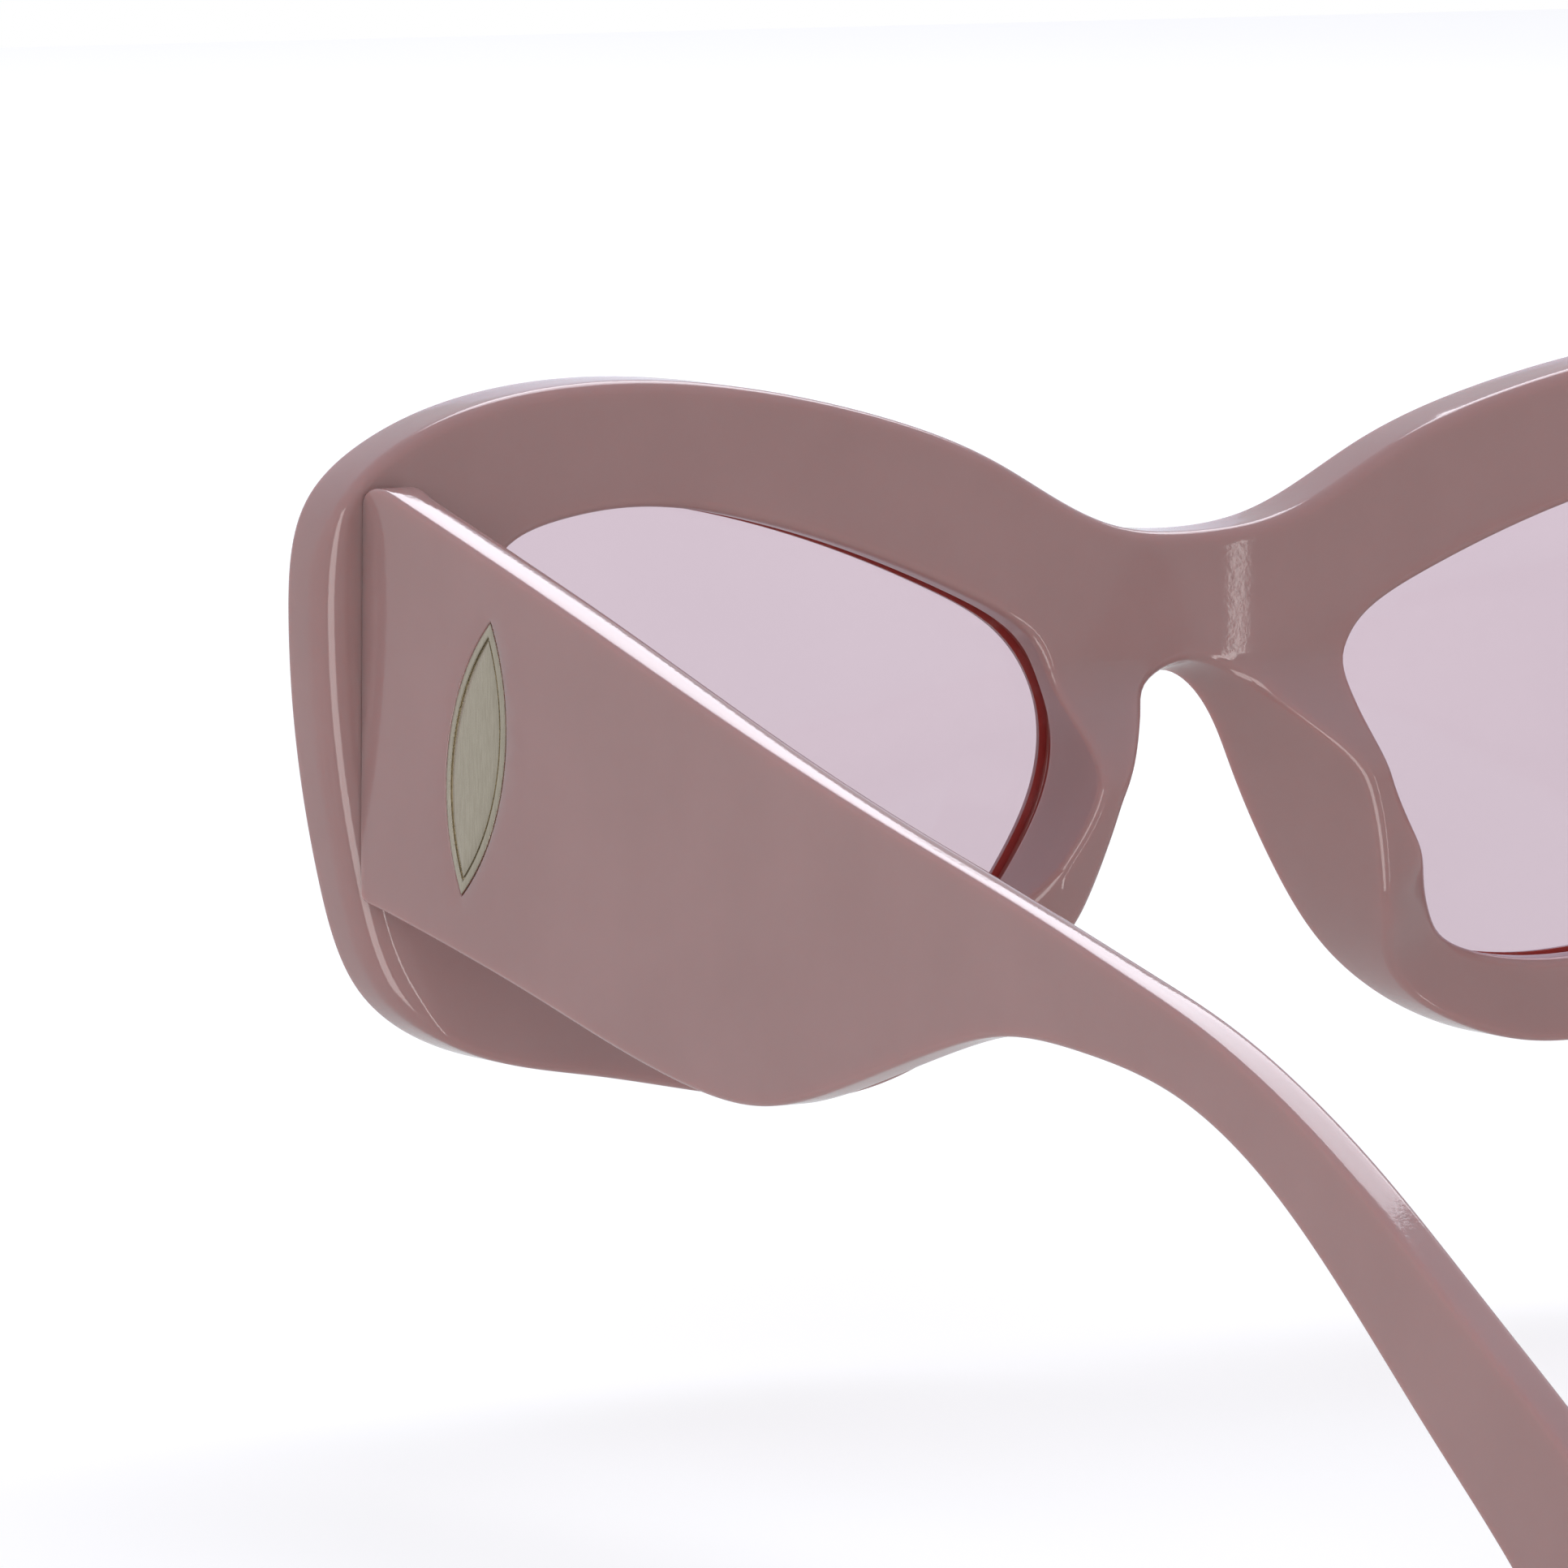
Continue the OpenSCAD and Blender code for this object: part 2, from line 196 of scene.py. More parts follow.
def inside(points, loop):
    """True for each point that lies inside a closed loop."""
    a, b = loop, np.roll(loop, -1, 0)
    x, y = points[:, 0][:, None], points[:, 1][:, None]
    rise = b[:, 1] - a[:, 1]
    rise = np.where(np.abs(rise) < TINY, TINY, rise)
    spans = (a[:, 1] > y) != (b[:, 1] > y)
    cut = (y - a[:, 1]) / rise * (b[:, 0] - a[:, 0]) + a[:, 0]
    return (spans & (x < cut)).sum(1) % 2 == 1


def nearest(points, loop, batch=2000):
    """Distance of each point to the closest vertex of a loop."""
    out = np.empty(len(points))
    for i in range(0, len(points), batch):
        part = points[i: i + batch]
        out[i: i + batch] = np.sqrt(((part[:, None] - loop[None]) ** 2).sum(2).min(1))
    return out


def along(loop, values, blur):
    """Values along a closed loop, blurred by a length in millimetres."""
    run = np.linalg.norm(np.roll(loop, -1, 0) - loop, axis=1).sum()
    return blurred(values, run / len(loop), blur)


def rounded_box(low, high, radius, steps=5):
    """A box with round corners as a loop, from its lowest and highest corner."""
    (u0, v0), (u1, v1) = low, high
    centres = [(u1 - radius, v1 - radius), (u0 + radius, v1 - radius),
               (u0 + radius, v0 + radius), (u1 - radius, v0 + radius)]
    points = []
    for k, (cu, cv) in enumerate(centres):
        for a in np.linspace(k * math.pi / 2, (k + 1) * math.pi / 2, steps):
            points.append((cu + radius * math.cos(a), cv + radius * math.sin(a)))
    return even_loop(np.array(points), 0.3)


def grid_points(loops, grids):
    """Points of triangular grids that lie inside the first loop and outside the others.

    A grid is (low corner, high corner, gap). Where grids overlap, the later one holds.
    """
    row_step = math.sqrt(0.75)           # height of a triangle with sides of 1
    clear = 0.6                          # least distance to a loop, in gaps
    kept = []
    for number, (low, high, gap) in enumerate(grids):
        us = np.arange(low[0], high[0], gap)
        vs = np.arange(low[1], high[1], gap * row_step)
        uu, vv = np.meshgrid(us, vs)
        uu = uu + (np.arange(len(vs)) % 2)[:, None] * gap / 2
        p = np.stack([uu.ravel(), vv.ravel()], 1)
        for later in grids[number + 1:]:
            covered = (p > np.array(later[0])).all(1) & (p < np.array(later[1])).all(1)
            p = p[~covered]
        p = p[inside(p, loops[0])]
        for hole in loops[1:]:
            p = p[~inside(p, hole)]
        for loop in loops:
            p = p[nearest(p, loop) > clear * gap]
        kept.append(p)
    return np.vstack(kept)


def triangulated(loops, interior):
    """Triangles between the loops and the interior points, as rows of point numbers.

    Also returns twice the signed area of each.
    """
    same_point, least_turn = 1e-7, 1e-9
    edges = []
    start = 0
    for loop in loops:
        n = len(loop)
        edges += [(start + i, start + (i + 1) % n) for i in range(n)]
        start += n
    every = [Vector(q) for q in np.vstack(loops + [interior])]
    out = delaunay_2d_cdt(every, edges, [], 0, same_point)
    flat = np.array([tuple(v) for v in out[0]])
    source = np.array([o[0] if o else -1 for o in out[3]])
    tris = np.array([t for t in out[2] if len(t) == 3])
    tris = tris[(source[tris] >= 0).all(1)]
    middle = flat[tris].mean(1)
    keep = inside(middle, loops[0])
    for hole in loops[1:]:
        keep &= ~inside(middle, hole)
    tris = tris[keep]
    a, b, c = flat[tris[:, 0]], flat[tris[:, 1]], flat[tris[:, 2]]
    side_b, side_c = b - a, c - a
    turn = side_b[:, 0] * side_c[:, 1] - side_b[:, 1] * side_c[:, 0]
    real = np.abs(turn) > least_turn
    return source[tris[real]], turn[real]


# ---------------------------------------------------------------- plates with rounded edges
class Plate:
    """A flat-ish solid between face A (low depth) and face B (high depth), with holes.

    Vertices are (u, depth, v): the outline lies in u and v.
    """

    def __init__(self, face_a, face_b, groove_face=None):
        self.face_a, self.face_b = face_a, face_b
        self.groove_face = groove_face or face_b
        self.verts, self.faces, self.slots = [], [], []
        self.count = 0
        self.rims = {"a": [], "b": []}

    def add(self, uv, depth):
        """Adds vertices and returns their numbers."""
        self.verts.append(np.column_stack([uv[:, 0], depth, uv[:, 1]]))
        first = self.count
        self.count += len(uv)
        return np.arange(first, self.count)

    def strip(self, low, high, flip, slot=0):
        """A closed band of quads between two rings."""
        low2, high2 = np.roll(low, -1), np.roll(high, -1)
        quads = np.stack([low, low2, high2, high], 1)
        if flip:
            quads = quads[:, ::-1]
        self.faces.extend(quads.tolist())
        self.slots.extend([slot] * len(quads))

    def wall(self, loop, hole=False, move_a=0.0, move_b=0.0, round_a=1.0, round_b=1.0,
             groove=None, steps=6):
        """The side wall round a loop, with its rounded edges. Moves and radii may vary along it.

        A groove is (near side, far side, depth, material slot), with its sides measured from
        the groove face towards face A.
        """
        normal = inward(loop, hole)
        n = len(loop)

        def wide(x):
            return np.broadcast_to(np.asarray(x, float), (n,))

        move_a, move_b, round_a, round_b = map(wide, (move_a, move_b, round_a, round_b))

        def place(d):
            return loop + normal * d[:, None]

        corner_a, corner_b = place(move_a), place(move_b)
        flat_a, flat_b = place(move_a + round_a), place(move_b + round_b)
        depth_ca, depth_cb = self.face_a(corner_a), self.face_b(corner_b)
        depth_fa, depth_fb = self.face_a(flat_a), self.face_b(flat_b)
        height = depth_cb - depth_ca

        def on_wall(f):
            return corner_a + (corner_b - corner_a) * f[:, None], depth_ca + height * f

        wall_a, depth_wa = on_wall(round_a / height)
        wall_b, depth_wb = on_wall(1 - round_b / height)
        rows = []

        def edge(start, start_d, corner, corner_d, end, end_d):
            """A quarter of an ellipse from a face to the wall, as a rational curve."""
            for t in np.linspace(0, 1, steps + 1):
                w0 = (1 - t) ** 2
                w1 = 2 * math.sqrt(0.5) * t * (1 - t)
                w2 = t * t
                total = w0 + w1 + w2
                uv = (w0 * start + w1 * corner + w2 * end) / total
                depth = (w0 * start_d + w1 * corner_d + w2 * end_d) / total
                rows.append((uv, depth, 0))

        edge(flat_a, depth_fa, corner_a, depth_ca, wall_a, depth_wa)
        if groove:
            low, high, deep, slot = groove
            f_low = (self.groove_face(corner_a) - high - depth_ca) / height
            f_high = (self.groove_face(corner_a) - low - depth_ca) / height
            for f, extra in ((f_low, 0.0), (f_low, deep), (f_high, deep), (f_high, 0.0)):
                uv, depth = on_wall(f)
                rows.append((uv + normal * extra, depth, slot))
        else:
            for share in (0.35, 0.5, 0.65):
                straight = 1 - (round_a + round_b) / height
                uv, depth = on_wall(round_a / height + straight * share)
                rows.append((uv, depth, 0))
        edge(wall_b, depth_wb, corner_b, depth_cb, flat_b, depth_fb)
        rings = [self.add(uv, depth) for uv, depth, _ in rows]
        for k in range(len(rings) - 1):
            slot = min(rows[k][2], rows[k + 1][2])
            self.strip(rings[k], rings[k + 1], flip=not hole, slot=slot)
        self.rims["a"].append((rings[0], rows[0][0]))
        self.rims["b"].append((rings[-1], rows[-1][0]))

    def recess(self, loop, side, deep, corner=0.12, ease=0.3, spacing=1.5):
        """A blind pocket in one face: eased edge, wall and a floor that follows the face."""
        normal = inward(loop, hole=True)
        face = self.face_b if side == "b" else self.face_a
        sign = -1 if side == "b" else 1
        outer = loop + normal * corner
        rows = [
            (outer, face(outer)),
            (loop + normal * corner * ease, face(loop) + sign * corner * ease),
            (loop, face(loop) + sign * corner),
            (loop, face(loop) + sign * deep),
        ]
        rings = [self.add(uv, depth) for uv, depth in rows]
        for k in range(len(rings) - 1):
            self.strip(rings[k], rings[k + 1], flip=side == "b")
        self.rims[side].append((rings[0], rows[0][0]))
        self.fill([(rings[-1], loop)], lambda uv: face(uv) + sign * deep, side, spacing)

    def fill(self, rims, face, side, spacing, dense=()):
        """Triangulates one face between its rims, the first of which is the outer one."""
        loops = [uv for _, uv in rims]
        whole = loops[0].min(0), loops[0].max(0), spacing
        interior = grid_points(loops, [whole] + list(dense))
        ids = np.concatenate([ring for ring, _ in rims] + [self.add(interior, face(interior))])
        tris, turn = triangulated(loops, interior)
        # In (u, depth, v), an anticlockwise triangle faces low depth.
        wrong = (turn > 0) if side == "b" else (turn < 0)
        tris[wrong] = tris[wrong][:, ::-1]
        self.faces.extend(ids[tris].tolist())
        self.slots.extend([0] * len(tris))

    def close(self, spacing, dense=()):
        """Both faces, once all walls and recesses are there. dense lists finer grids."""
        self.fill(self.rims["a"], self.face_a, "a", spacing, dense)
        self.fill(self.rims["b"], self.face_b, "b", spacing, dense)

    def vertices(self):
        return np.vstack(self.verts)


def mesh_object(name, verts_mm, faces, slots, materials, sharp=50):
    """A smooth-shaded object from vertices in millimetres."""
    mesh = bpy.data.meshes.new(name)
    mesh.from_pydata((np.asarray(verts_mm) * MM).tolist(), [], faces)
    for material in materials:
        mesh.materials.append(material)
    mesh.polygons.foreach_set("material_index", np.array(slots, np.int32))
    mesh.polygons.foreach_set("use_smooth", np.ones(len(faces), bool))
    mesh.update()
    mesh.set_sharp_from_angle(angle=math.radians(sharp))
    mesh.validate()
    obj = bpy.data.objects.new(name, mesh)
    bpy.context.scene.collection.objects.link(obj)
    return obj


def both_sides(verts, faces):
    """The left mesh, and its mirror image across X = 0 with faces turned the right way out."""
    mirror_image = np.array(verts)
    mirror_image[:, 0] *= -1
    turned = [list(f)[::-1] for f in faces]
    return ("left", verts, faces), ("right", mirror_image, turned)


# ---------------------------------------------------------------- the front
def wrap_y(x, radial=0.0):
    """Y of the wrap cylinder that lies radial in front of the rear face."""
    return WRAP_R - np.sqrt((WRAP_R + radial) ** 2 - np.asarray(x, float) ** 2)


def pad_height(x, z):
    """How far the nose pads and the nasal rims stand behind the plain rear face."""
    stand, fullest, fall = 6.15, -14.5, 15   # height of the ridge, where it is full, its fall
    x = np.abs(x)
    above = 1 - smoothstep(-14.2, -6, z)
    below = np.exp(-((np.minimum(z, fullest) - fullest) / fall) ** 2) * smoothstep(-31, -24, z)
    nose_side = smoothstep(2.5, 6, x)
    outer_start = 14.5 - 3 * (1 - smoothstep(-24, -18, z))
    outer_side = 1 - smoothstep(outer_start, 24, x)
    return stand * above * below * nose_side * outer_side


def front_rear_face(uv):
    """The wrapped rear face with its nose pads and the shallow saddle of the bridge."""
    x, z = uv[:, 0], uv[:, 1]
    saddle = 0.8 * np.exp(-(x / 5) ** 2) * smoothstep(-13, -6, z)
    return wrap_y(x) + pad_height(x, z) - saddle


def front_front_face(uv):
    return wrap_y(uv[:, 0], FRONT_T)


# Height, and how far the nose gap's wall leans into the material by the rear face.
NOSE_FLARE = [
    (-31, 0), (-27, 0.8), (-23.5, 1.75), (-19.5, 3.0), (-15.6, 3.75),
    (-13, 3.05), (-11, 2.1), (-9, 1.85), (-7.5, 1.1), (-3, 0),
]


def nose_flare(uv):
    """The lean of NOSE_FLARE on the nose gap, and none on the rest of the outline."""
    x, z = np.abs(uv[:, 0]), uv[:, 1]
    heights, leans = zip(*NOSE_FLARE)
    on_gap = (x < 18) & (z < -5)
    return np.where(on_gap, np.interp(z, heights, leans), 0.0)


def rim_lean(uv):
    """How far an opening's wall leans over the lens by the rear face: only on the nose side."""
    x, z = np.abs(uv[:, 0]), uv[:, 1]
    nose_side = 1 - smoothstep(14, 24, x)
    lower, upper = smoothstep(-28, -23.5, z), 1 - smoothstep(-9, -3.5, z)
    return -1.75 * nose_side * lower * upper


def rear_rounding(uv):
    """Radius of the front's outer rear edge: soft on the temple side, crisp elsewhere."""
    x, z = np.abs(uv[:, 0]), uv[:, 1]
    crisp = 0.55 + 0.3 * smoothstep(0, 2, z)
    soft = 2.4
    temple_side = smoothstep(60, 67, x) * (1 - smoothstep(3, 8.5, z)) * smoothstep(-31, -26, z)
    return crisp + (soft - crisp) * temple_side


def build_front(acetate, groove_glow_and_shade):
    """Both rims, the bridge and the nose pads in one, with lens grooves and hinge pockets. The
    grooves are painted a deeper red for their glow and shade.
    """
    half = np.array(FRONT_HALF) * SCALE
    other = half[1:-1][::-1] * [-1, 1]
    curve = spline(np.vstack([half, other]), True)
    outer = anticlockwise(even_loop(curve, spacing=0.55, blur=0.5))
    curve = spline(np.array(OPENING) * SCALE, True)
    left = anticlockwise(even_loop(curve, spacing=0.5, blur=0.4))
    right = (left * [-1, 1])[::-1].copy()
    plate = Plate(front_front_face, front_rear_face, lambda uv: wrap_y(uv[:, 0]))
    flare = along(outer, nose_flare(outer), 1.2)
    on_pad = smoothstep(0.3, 1.5, flare)
    soft = along(outer, rear_rounding(outer) + 0.1 * on_pad, 0.8)
    plate.wall(outer, move_b=flare, round_a=0.6, round_b=soft, steps=8)
    # Slot 1 gives the groove's faces a deeper red acetate: painted glow and shade of the light in
    # the groove.
    groove = LENS_REAR - GROOVE_GAP, LENS_FRONT + GROOVE_GAP, GROOVE_DEPTH, 1
    for loop in (left, right):
        lean = along(loop, rim_lean(loop), 1.0)
        plate.wall(loop, hole=True, move_b=lean, round_a=0.45, round_b=0.7, groove=groove)
    (x_in, z_low), (x_out, z_high) = FRONT_LEAF
    for x_low, x_high in ((x_in, x_out), (-x_out, -x_in)):
        pocket = rounded_box((x_low, z_low), (x_high, z_high), LEAF_CORNER[0])
        plate.recess(pocket, "b", LEAF_DEPTH)
    nose_area = (-20, -31), (20, 4), 0.5
    plate.close(1.0, [nose_area])
    piece = mesh_object("front_acetate", plate.vertices(), plate.faces, plate.slots,
                        [acetate, groove_glow_and_shade])
    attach(piece, "front")
    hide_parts("front_frame", "left_nose_pad", "right_nose_pad")


def build_lenses(glass, edge):
    """Two curved sheets whose edges reach into the grooves. The edge faces are a reddish acetate:
    painted glow and shade of the groove.
    """
    curve = spline(np.array(OPENING) * SCALE, True)
    shape = anticlockwise(even_loop(curve, spacing=0.7, blur=0.4))
    shape = shape - inward(shape) * (GROOVE_DEPTH - LENS_GAP)
    plate = Plate(lambda uv: wrap_y(uv[:, 0], LENS_FRONT), lambda uv: wrap_y(uv[:, 0], LENS_REAR))
    plate.wall(shape, round_a=0.25, round_b=0.25, steps=3)
    edge_faces = len(plate.faces)
    plate.close(2.0)
    slots = [1] * edge_faces + [0] * (len(plate.faces) - edge_faces)
    for side, verts, faces in both_sides(plate.vertices(), plate.faces):
        piece = mesh_object(f"{side}_lens_sheet", verts, faces, slots, [glass, edge])
        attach(piece, "front")
        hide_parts(f"{side}_lens")


# ---------------------------------------------------------------- temples
def temple_outline(spacing=0.5):
    """The temple's outline with its two small front corners."""
    curve = spline(TEMPLE, False)
    butt = [(0.35, -18.0), (0.05, -17.5), (0.05, 6.5), (0.25, 7.5), (0.9, 8.35), (1.9, 8.65)]
    return anticlockwise(even_loop(np.vstack([curve, butt]), spacing, blur=0.25))


def in_temple_frame(verts):
    """(distance, depth, z) to the row frame, for the left temple."""
    along_t, depth, z = verts[:, 0] - HINGE_OFF, verts[:, 1] + HINGE_OFF, verts[:, 2]
    axis = HINGE["left_arm"]
    x = axis[0] + depth * math.cos(SPLAY) - along_t * math.sin(SPLAY)
    y = axis[1] + depth * math.sin(SPLAY) + along_t * math.cos(SPLAY)
    return np.column_stack([x, y, z])


INLAY_AT = np.array([13.8, -7.8])    # its middle: distance and z
INLAY_LEAN = math.radians(-10)
INLAY_L, INLAY_W = 18.0, 6.4
INLAY_GAP = 0.06                     # round the plaque in its recess


def pointed_oval(inset, count=96):
    """Two arcs that meet in points, as a loop in the temple's plane."""
    radius = (INLAY_L ** 2 + INLAY_W ** 2) / (4 * INLAY_W)
    off = radius - INLAY_W / 2
    r = radius - inset
    top = math.sqrt(r * r - off * off)
    swing = math.asin(top / r)
    angles = np.linspace(-swing, swing, count, endpoint=False)
    right = np.stack([r * np.cos(angles) - off, r * np.sin(angles)], 1)
    loop = np.vstack([right, -right])
    c, s = math.cos(INLAY_LEAN), math.sin(INLAY_LEAN)
    return INLAY_AT + loop @ np.array([[c, s], [-s, c]])


def build_temples(acetate):
    """Two temples, broad by the hinge and slim behind, with pockets for leaf and plaque."""
    outline = temple_outline()

    def drop(uv):
        """A faint crown: a face falls off a little near the outline."""
        return 0.1 * np.exp(-(nearest(uv, outline) / 1.8) ** 2)

    def outer_face(uv):
        return TEMPLE_T - drop(uv)

    def inner_face(uv):
        return (TEMPLE_T - ARM_T) * smoothstep(*TAPER, uv[:, 0]) + drop(uv)

    plate = Plate(inner_face, outer_face)
    behind_butt = smoothstep(0.6, 4, outline[:, 0])
    upper = smoothstep(-0.2, 0.6, -inward(outline)[:, 1])
    broad = 1 - smoothstep(70, 95, outline[:, 0])
    inner_round = along(outline, 0.35 + behind_butt * (0.55 + 0.8 * upper * broad), 1.0)
    plate.wall(outline, round_a=inner_round, round_b=0.25 + 0.15 * behind_butt)
    plate.recess(pointed_oval(-INLAY_GAP), "b", 0.6)
    plate.recess(rounded_box(*TEMPLE_LEAF, LEAF_CORNER[1]), "a", LEAF_DEPTH)
    plate.close(1.2)
    verts = in_temple_frame(plate.vertices())
    # The butt end follows the curved rear face of the front.
    y_limit = wrap_y(verts[:, 0]) + BUTT_GAP
    low = verts[:, 1] < y_limit
    verts[low, 1] = y_limit[low]
    faces = [f[::-1] for f in plate.faces]
    for side, v, f in both_sides(verts, faces):
        piece = mesh_object(f"{side}_temple_acetate", v, f, plate.slots, [acetate])
        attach(piece, f"{side}_arm")
        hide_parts(f"{side}_temple")


def build_inlays(metal):
    """A slim pointed oval with a bevelled border, a fine groove and a low crowned field."""
    top = TEMPLE_T + 0.02
    profile = [(0.0, top - 0.55), (0.0, top - 0.16), (0.05, top - 0.05), (0.14, top), (0.5, top),
               (0.56, top - 0.05), (0.58, top - 0.17), (0.72, top - 0.17), (0.74, top - 0.08),
               (0.84, top - 0.03), (1.3, top + 0.02), (2.1, top + 0.06), (2.9, top + 0.08)]
    rings = []
    for inset, depth in profile:
        loop = pointed_oval(inset)
        rings.append(np.column_stack([loop[:, 0], np.full(len(loop), depth), loop[:, 1]]))
    n = len(rings[0])
    verts = np.vstack(rings)
    faces = []
    for k in range(len(rings) - 1):
        for i in range(n):
            j = (i + 1) % n
            faces.append([k * n + i, k * n + j, (k + 1) * n + j, (k + 1) * n + i])
    last = (len(rings) - 1) * n
    half = n // 2
    for i in range(half):
        # The last ring is nearly a line: its two sides are joined across.
        corners = [i, i + 1, n - 1 - i, (n - i) % n]
        faces.append([last + corner for corner in dict.fromkeys(corners)])
    faces.append(list(range(n))[::-1])
    world = in_temple_frame(verts)
    for side, v, f in both_sides(world, faces):
        piece = mesh_object(f"{side}_inlay_plaque", v, f, [0] * len(f), [metal], sharp=35)
        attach(piece, f"{side}_arm")
        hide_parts(f"{side}_inlay")


# ---------------------------------------------------------------- materials
def node_material(name):
    """A new material with its node tree and its surface shader."""
    material = bpy.data.materials.new(name)
    material.use_nodes = True
    tree = material.node_tree
    return material, tree, tree.nodes["Principled BSDF"]


def noise(tree, scale, detail, rough, stretch=None):
    """Noise in the piece's own space, drawn out along its axes if asked."""
    coord = tree.nodes.new("ShaderNodeTexCoord")
    tex = tree.nodes.new("ShaderNodeTexNoise")
    tex.inputs["Scale"].default_value = scale
    tex.inputs["Detail"].default_value = detail
    tex.inputs["Roughness"].default_value = rough
    if stretch:
        mapping = tree.nodes.new("ShaderNodeMapping")
        mapping.inputs["Scale"].default_value = stretch
        tree.links.new(coord.outputs["Object"], mapping.inputs["Vector"])
        tree.links.new(mapping.outputs["Vector"], tex.inputs["Vector"])
    else:
        tree.links.new(coord.outputs["Object"], tex.inputs["Vector"])
    return tex.outputs["Fac"]


def remap(tree, value, low, high, lowest=0.0):
    """Spreads a value that runs from lowest to 1 over low to high."""
    node = tree.nodes.new("ShaderNodeMapRange")
    node.inputs["From Min"].default_value = lowest
    node.inputs["To Min"].default_value = low
    node.inputs["To Max"].default_value = high
    tree.links.new(value, node.inputs["Value"])
    return node.outputs["Result"]


def tint(tree, value, dark, light):
    """A colour between dark and light, chosen by a noise value."""
    ramp = tree.nodes.new("ShaderNodeValToRGB")
    ramp.color_ramp.elements[0].position = 0.35
    ramp.color_ramp.elements[0].color = (*dark, 1)
    ramp.color_ramp.elements[1].position = 0.65
    ramp.color_ramp.elements[1].color = (*light, 1)
    tree.links.new(value, ramp.inputs["Fac"])
    return ramp.outputs["Color"]


def bump(tree, shader, height, strength, distance):
    node = tree.nodes.new("ShaderNodeBump")
    node.inputs["Strength"].default_value = strength
    node.inputs["Distance"].default_value = distance
    tree.links.new(height, node.inputs["Height"])
    tree.links.new(node.outputs["Normal"], shader.inputs["Normal"])


def acetate_material(name, dark, light):
    """Polished acetate: faint clouding in the colour, tiny polishing marks in the gloss. Its deeper
    red copies paint glow and shade in the grooves and on the lens edges.
    """
    material, tree, shader = node_material(name)
    clouds = noise(tree, 90, 4, 0.55)
    tree.links.new(tint(tree, clouds, dark, light), shader.inputs["Base Color"])
    gloss = noise(tree, 900, 5, 0.6)
    tree.links.new(remap(tree, gloss, 0.05, 0.10), shader.inputs["Roughness"])
    shader.inputs["IOR"].default_value = 1.49
    shader.inputs["Subsurface Weight"].default_value = 0.5
    shader.inputs["Subsurface Radius"].default_value = (1.0, 0.45, 0.4)
    shader.inputs["Subsurface Scale"].default_value = 0.003
    bump(tree, shader, noise(tree, 2500, 2, 0.5), 0.02, 0.0002)
    return material


def lens_material():
    """Pale tinted sheet: mostly clear, with the reflection of a smooth surface."""
    material, tree, shader = node_material("lens_tint")
    tree.nodes.remove(shader)
    clear = tree.nodes.new("ShaderNodeBsdfTransparent")
    haze = noise(tree, 60, 2, 0.5)
    lilac = tint(tree, haze, (0.785, 0.711, 0.745), (0.791, 0.717, 0.751))
    tree.links.new(lilac, clear.inputs["Color"])
    mirror = tree.nodes.new("ShaderNodeBsdfGlossy")
    mirror.inputs["Roughness"].default_value = 0.03
    mix = tree.nodes.new("ShaderNodeMixShader")
    # The same on both sides of a face, so that the thin sheet stays clear at a slant.
    weight = tree.nodes.new("ShaderNodeLayerWeight")
    steep = tree.nodes.new("ShaderNodeMath")
    steep.operation = "POWER"
    steep.inputs[1].default_value = 5.0
    tree.links.new(weight.outputs["Facing"], steep.inputs[0])
    tree.links.new(remap(tree, steep.outputs["Value"], 0.034, 0.8), mix.inputs["Fac"])
    tree.links.new(clear.outputs["BSDF"], mix.inputs[1])
    tree.links.new(mirror.outputs["BSDF"], mix.inputs[2])
    tree.links.new(mix.outputs["Shader"], tree.nodes["Material Output"].inputs["Surface"])
    return material


def metal_material(name, dark, light, rough, stretch=(1, 1, 30)):
    """Brushed metal: fine streaks in colour, roughness and height."""
    material, tree, shader = node_material(name)
    streaks = noise(tree, 700, 4, 0.6, stretch)
    tree.links.new(tint(tree, streaks, dark, light), shader.inputs["Base Color"])
    shader.inputs["Metallic"].default_value = 1.0
    tree.links.new(remap(tree, streaks, rough * 0.8, rough * 1.3), shader.inputs["Roughness"])
    bump(tree, shader, streaks, 0.08, 0.0001)
    return material


ACETATE = acetate_material("mauve_acetate", (0.345, 0.209, 0.199), (0.364, 0.221, 0.211))
# A deeper red copy of the acetate for the lens grooves: painted glow and shade, not a colour of its
# own.
GROOVE_GLOW_AND_SHADE = acetate_material("mauve_acetate_painted_groove_glow", (0.42, 0.11, 0.085), (0.47, 0.13, 0.10))
LENS = lens_material()
# The lens edges in reddish acetate: painted glow and shade of the groove seen through them, not the
# lens's own colour.
LENS_EDGE_GROOVE_GLOW = acetate_material("lens_edge_painted_groove_glow", (0.45, 0.13, 0.10), (0.50, 0.15, 0.12))
INLAY_METAL = metal_material("champagne_metal", (0.42, 0.38, 0.30), (0.50, 0.46, 0.37), 0.26,
                             (14, 14, 1))
STEEL = metal_material("hinge_steel", (0.50, 0.48, 0.45), (0.62, 0.60, 0.57), 0.3)
SCREW = metal_material("screw_steel", (0.46, 0.45, 0.43), (0.58, 0.57, 0.55), 0.24, (1, 1, 1))
CORE = metal_material("core_steel", (0.40, 0.40, 0.39), (0.50, 0.50, 0.49), 0.4)


def finish_cad_node(node, material, bevel=0.0):
    """Material on a CAD node and, if asked, a fine bevel in millimetres on its edges."""
    obj = frame["nodes"][node]
    obj.data.materials.clear()
    obj.data.materials.append(material)
    if bevel:
        weld = obj.modifiers.new("weld", "WELD")
        weld.merge_threshold = 1e-6
        soft = obj.modifiers.new("bevel", "BEVEL")
        soft.width = bevel * MM
        soft.segments = 2
        soft.limit_method = "ANGLE"
        soft.angle_limit = math.radians(40)


